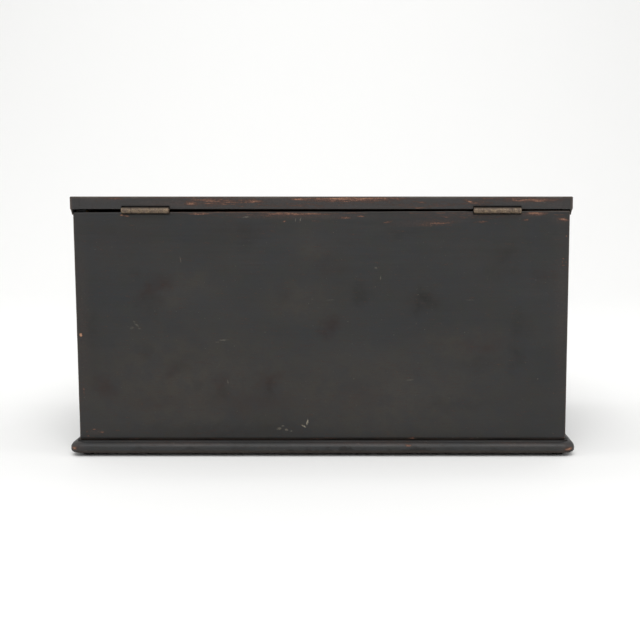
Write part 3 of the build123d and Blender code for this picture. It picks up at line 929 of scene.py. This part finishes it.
def bareBase(centre, normal):
    if abs(normal.z) < 0.9:
        return False
    edgeGap = min(baseHigh.x - abs(centre.x), baseHigh.y - abs(centre.y))
    if centre.z < baseHigh.z - hair:
        return edgeGap > base["paintedUnder"]
    return max(abs(centre.x) - caseHalf, abs(centre.y) - backFace) < -wall / 2


baseBox = (baseLow, baseHigh)
# The lighter arris band reaches 3 mm here, over the base's round: wear, and a painted highlight there
basePaint = newMaterial("brushedPaintBase", agedPaint, "x", baseBox, 0.5, 0.2, 3 * mm, baseHigh.y, baseMarks,
                        grimy=True)
finishPiece(baseBoard(base), "baseBoard", "case", [basePaint, pineX], "base_board", bareBase)
print("base board made")


# Feet: low turned buttons, rounded underneath, each held by a small nail

feet = {"radius": 5 * mm, "round": 1.3 * mm, "segments": 48, "pocket": (2.3 * mm, 1.6 * mm, 1.3 * mm)}


def foot(f, node):
    low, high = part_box(node)
    x, y, z = (low + high) / 2
    rings = [(f["radius"] - inward, up) for inward, up in roundUnder(f["round"], 5)] + [(f["radius"], high.z)]
    wide, narrow, deep = f["pocket"]
    hole = boxMesh((-wide / 2, -narrow / 2, -1 * mm), (wide / 2, narrow / 2, deep))
    return turned(carved(ringStack(rings, f["segments"]), hole), Matrix.Translation((x, y, 0)))


footPaint = newMaterial("brushedPaintFeet", agedPaint, "x", baseBox, 0.2)
for node in sorted(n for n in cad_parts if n.startswith("foot_") and n != "foot_nails"):
    end, side = node.title().split("_")[1:]
    finishPiece(foot(feet, node), "foot" + end + side, "case", [footPaint], node)
print("feet made")


# Lid: one board, framed by a moulding that laps the case and is mitred at the front

lid = {
    "arris": 0.9 * mm,
    "lowerArris": 0.45 * mm,
    "joint": 0.14 * mm,
    "pitch": 8 * mm,
    "wearDepth": 0.22 * mm,
    "wearSize": 12 * mm,
    "lipClearance": 0.3 * mm,
    "lipEdge": 0.4 * mm,
    "coveHeight": 4.8 * mm,
    "coveRadius": 12 * mm,
    "coveSegments": 160,
    "mitreRoom": 5 * mm,
}


def lidBoard(b):
    bm = boxMesh(lidLow, lidHigh)
    softened(bm, lambda m, n: max(m.y, n.y) > 0.9 and max(m.z, n.z) > 0.9, b["arris"], 4)
    softened(bm, lambda m, n: max(m.y, n.y) > 0.9 and min(m.z, n.z) < -0.9, b["lowerArris"], 3)
    softened(bm, lambda m, n: max(abs(m.x), abs(n.x)) > 0.9 or min(m.y, n.y) < -0.9, b["joint"], 2)
    sliced(bm, (0, 1), lidLow, lidHigh, b["pitch"])
    for v in bm.verts:
        if v.co.y > lidHigh.y - 1.1 * b["arris"]:
            amount = b["wearDepth"] * rubbing(v.co / b["wearSize"], 3.3, 0.2)
            if lidHigh.y - v.co.y > hair and v.co.z < lidHigh.z - hair:
                v.co.y -= amount
            if hair < lidHigh.z - v.co.z < 1.1 * b["arris"]:
                v.co.z -= amount
    return carved(bm, *hingeGains(gains, 1))


def lidMoulding(b, face, start, end, seed):
    # A length beside the lid board, along y: face is its outer plane
    top, lipBottom = sideHigh.z, sideLow.z
    width = sideHigh.x - sideLow.x
    lipInner = face - (sideHigh.x - caseHalf - b["lipClearance"])
    bm = boxMesh((face - width, start, lipBottom), (face, end, top))
    softened(bm, lambda m, n: max(m.x, n.x) > 0.9 and max(m.z, n.z) > 0.9, b["arris"], 4)
    # The cove's axis, from the two ends of its curve
    tip = Vector((lipInner + b["lipEdge"], 0, lipBottom))
    rise = Vector((face, 0, lipBottom + b["coveHeight"])) - tip
    out = Vector((rise.z, 0, -rise.x)).normalized()
    centre = tip + rise / 2 + out * math.sqrt(b["coveRadius"] ** 2 - rise.length_squared / 4)
    cove = bmesh.new()
    bmesh.ops.create_cone(cove, cap_ends=True, segments=b["coveSegments"], radius1=b["coveRadius"],
                          radius2=b["coveRadius"], depth=2 * (end - start) + 1)
    turned(cove, Matrix.Translation(centre) @ Matrix.Rotation(math.radians(90), 4, "X"))
    rebate = boxMesh((face - 2 * width, start - 1, lipBottom - 1), (lipInner, end + 1, lidLow.z))
    bm = carved(bm, cove, rebate)
    sliced(bm, [1], (0, start, 0), (0, end, 0), b["pitch"])
    for v in bm.verts:
        amount = b["wearDepth"] * rubbing(v.co / b["wearSize"] + Vector((seed, 0, 0)), 3.3, 0.2)
        if face - 1.1 * b["arris"] < v.co.x < face - hair and v.co.z > lidLow.z:
            v.co.x -= amount
        if top - 1.1 * b["arris"] < v.co.z < top - hair:
            v.co.z -= amount
    return bm


def mitre(bm, place, normal):
    cut = cutAcross(bm, place, normal, clear_outer=True)
    bmesh.ops.edgeloop_fill(bm, edges=only(cut["geom_cut"], BMEdge))


def bareMoulding(centre, normal):
    return normal.z < -0.9 and centre.z > lidLow.z - 1 * mm


lidBox = (Vector((-sideHigh.x, mouldFront, sideLow.z)), Vector((sideHigh.x, lidHigh.y, lidHigh.z)))
# How far the lighter arris band reaches on the lid: paint worn thin, and a painted highlight
lidReach = 2.4 * mm
lidPaint = newMaterial("brushedPaintLid", agedPaint, "x", lidBox, 0.5, 0.3, lidReach, backFace, lidMarks)
finishPiece(lidBoard(lid), "lidBoard", "lid", [lidPaint, pineX], "lid_board",
            lambda c, n: n.z < -0.5 and c.y < lidHigh.y - 1 * mm)
sideBrads = nailHeads("lid_brads", 0) + nailHeads("lid_brads", 0, 1)
mouldPaint = newMaterial("brushedPaintMouldingSides", agedPaint, "y", lidBox, 0.9, 0.2, lidReach, backFace,
                         lidMarks, sideBrads)
for side, sign in (("left", -1), ("right", 1)):
    bm = lidMoulding(lid, sideHigh.x, mouldFront - lid["mitreRoom"], backFace, sign)
    mitre(bm, (sideHigh.x, mouldFront, 0), (-1, -1, 0))
    bm = turned(bm, Matrix.Diagonal((sign, 1, 1, 1)))
    finishPiece(bm, "lidMoulding" + side.title(), "lid", [mouldPaint, pineY],
                "lid_moulding_" + side, bareMoulding)
frontMouldPaint = newMaterial("brushedPaintMouldingFront", agedPaint, "x", lidBox, 1.1, 0.2, lidReach,
                              heads=nailHeads("lid_brads", 1))
frontEnd = sideHigh.x + lid["mitreRoom"]
bm = turned(lidMoulding(lid, -mouldFront, -frontEnd, frontEnd, 3), Matrix.Rotation(math.radians(-90), 4, "Z"))
for sign in (-1, 1):
    mitre(bm, (sign * sideHigh.x, mouldFront, 0), (sign, 1, 0))
finishPiece(bm, "lidMouldingFront", "lid", [frontMouldPaint, pineX], "lid_moulding_front",
            bareMoulding)
print("lid made")


# Hinges: narrow butts in sheet brass, each leaf's knuckles rolled round the pin, let into both edges

hinge = {
    "length": 38.1 * mm,
    "leaf": 9.0 * mm,
    "gauge": 1.2 * mm,
    "bore": 1.23 * mm,
    "knuckles": 5,
    "gap": 0.2 * mm,
    "clearance": 0.3 * mm,
    "roll": 297,  # degrees of the strip round the pin
    "rollSteps": 26,
    "softEdge": 0.16 * mm,
    "dent": 0.07 * mm,
    "dentSize": 2.3 * mm,
    "screws": 3,
    # Radius and level, up from the leaf's face, of each ring of a hole and of a screw
    "hole": [(1.2 * mm, -1.25 * mm), (3.45 * mm, 1 * mm)],
    "screw": [
        (0.3 * mm, -8 * mm), (1.15 * mm, -6 * mm), (1.15 * mm, -1.37 * mm), (2.4 * mm, -0.12 * mm),
        (2.32 * mm, -0.04 * mm),
    ],
    "slot": (4 * mm, 0.3 * mm, 0.5 * mm),  # half its length, half its width, depth
    "slotTurns": (25, 80, -40, 10, 60, -15, 35, -70, 5, 50, -25, 75),
}


def screwPlaces(h):
    # In a row along the middle of the leaf
    xs = [h["length"] * ((i + 0.5) / h["screws"] - 0.5) for i in range(h["screws"])]
    return [Matrix.Translation((x, -(h["bore"] + h["gauge"] + h["leaf"]) / 2, -h["bore"])) for x in xs]


def hingeLeaf(h, own):
    # Flat strip below the pin's axis, towards -Y. Its own knuckles are rolled up from its edge.
    outer = h["bore"] + h["gauge"]
    end = h["length"] / 2
    pitch = (h["length"] + h["gap"]) / h["knuckles"]
    bm = boxMesh((-end, -h["leaf"], -outer), (end, -outer - h["clearance"], -h["bore"]))
    starts = [-end + i * pitch for i in range(h["knuckles"])]
    for start in starts:
        for x in (start, start + pitch - h["gap"]):
            if abs(x) < end - hair:
                cutAcross(bm, (x, 0, 0), (1, 0, 0))
    bm.normal_update()
    for i in own:
        middle = starts[i] + (pitch - h["gap"]) / 2
        tip = [f for f in bm.faces if f.normal.y > 0.9 and abs(f.calc_center_median().x - middle) < h["gap"]
               and f.calc_center_median().y < -outer]
        made = bmesh.ops.extrude_face_region(bm, geom=tip)["geom"]
        bmesh.ops.delete(bm, geom=[f for f in tip if f.is_valid], context="FACES_ONLY")
        bmesh.ops.translate(bm, verts=only(made, BMVert), vec=(0, outer + h["clearance"], 0))
        bmesh.ops.spin(bm, geom=made, cent=(0, 0, 0), axis=(1, 0, 0), angle=math.radians(h["roll"]),
                       steps=h["rollSteps"])
    bmesh.ops.recalc_face_normals(bm, faces=bm.faces)
    bm = carved(bm, *[turned(ringStack(h["hole"], 40), place) for place in screwPlaces(h)])
    # Hammered and used: the knuckles aren't quite round
    for v in bm.verts:
        away = Vector((0, v.co.y, v.co.z))
        if v.co.y > -outer and away.length > outer - 0.1 * mm:
            v.co -= away.normalized() * h["dent"] * max(0, noise.noise(v.co / h["dentSize"]) + 0.4)
    return bm


def hingeScrews(h, turns):
    parts = []
    long, half, deep = h["slot"]
    for place, turn in zip(screwPlaces(h), turns):
        slot = turned(boxMesh((-long, -half, -deep), (long, half, 1 * mm)),
                      Matrix.Rotation(math.radians(turn), 4, "Z"))
        parts.append(turned(carved(ringStack(h["screw"], 36), slot), place))
    return joined(parts)


slotTurns = iter(hinge["slotTurns"])
for side, spot in hingeSpots.items():
    for body, first, up in (("case", 0, 1), ("lid", 1, -1)):
        place = Matrix.Translation(spot) @ Matrix.Diagonal((1, 1, up, 1))
        node = "hinge_" + side + "_" + body
        leaf = turned(hingeLeaf(hinge, range(first, hinge["knuckles"], 2)), place)
        label = side.title() + body.title()
        ob = finishPiece(leaf, "hingeLeaf" + label, body, [hingeBrass], node + "_leaf",
                         sharp=40)
        soft = ob.modifiers.new("softEdges", "BEVEL")
        soft.width = hinge["softEdge"]
        soft.segments = 2
        soft.limit_method = "ANGLE"
        soft.angle_limit = sharpTurn
        soft.use_clamp_overlap = True
        ob.modifiers.move(1, 0)
        screws = turned(hingeScrews(hinge, slotTurns), place)
        finishPiece(screws, "hingeScrews" + label, body, [nailIron], node + "_screws")
print("hinges made")


# The CAD nodes that still show: nails, brads and pins
for name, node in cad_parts.items():
    if not node.hide_render:
        node.data.materials.clear()
        node.data.materials.append(hingeBrass if "pin" in name else nailIron)
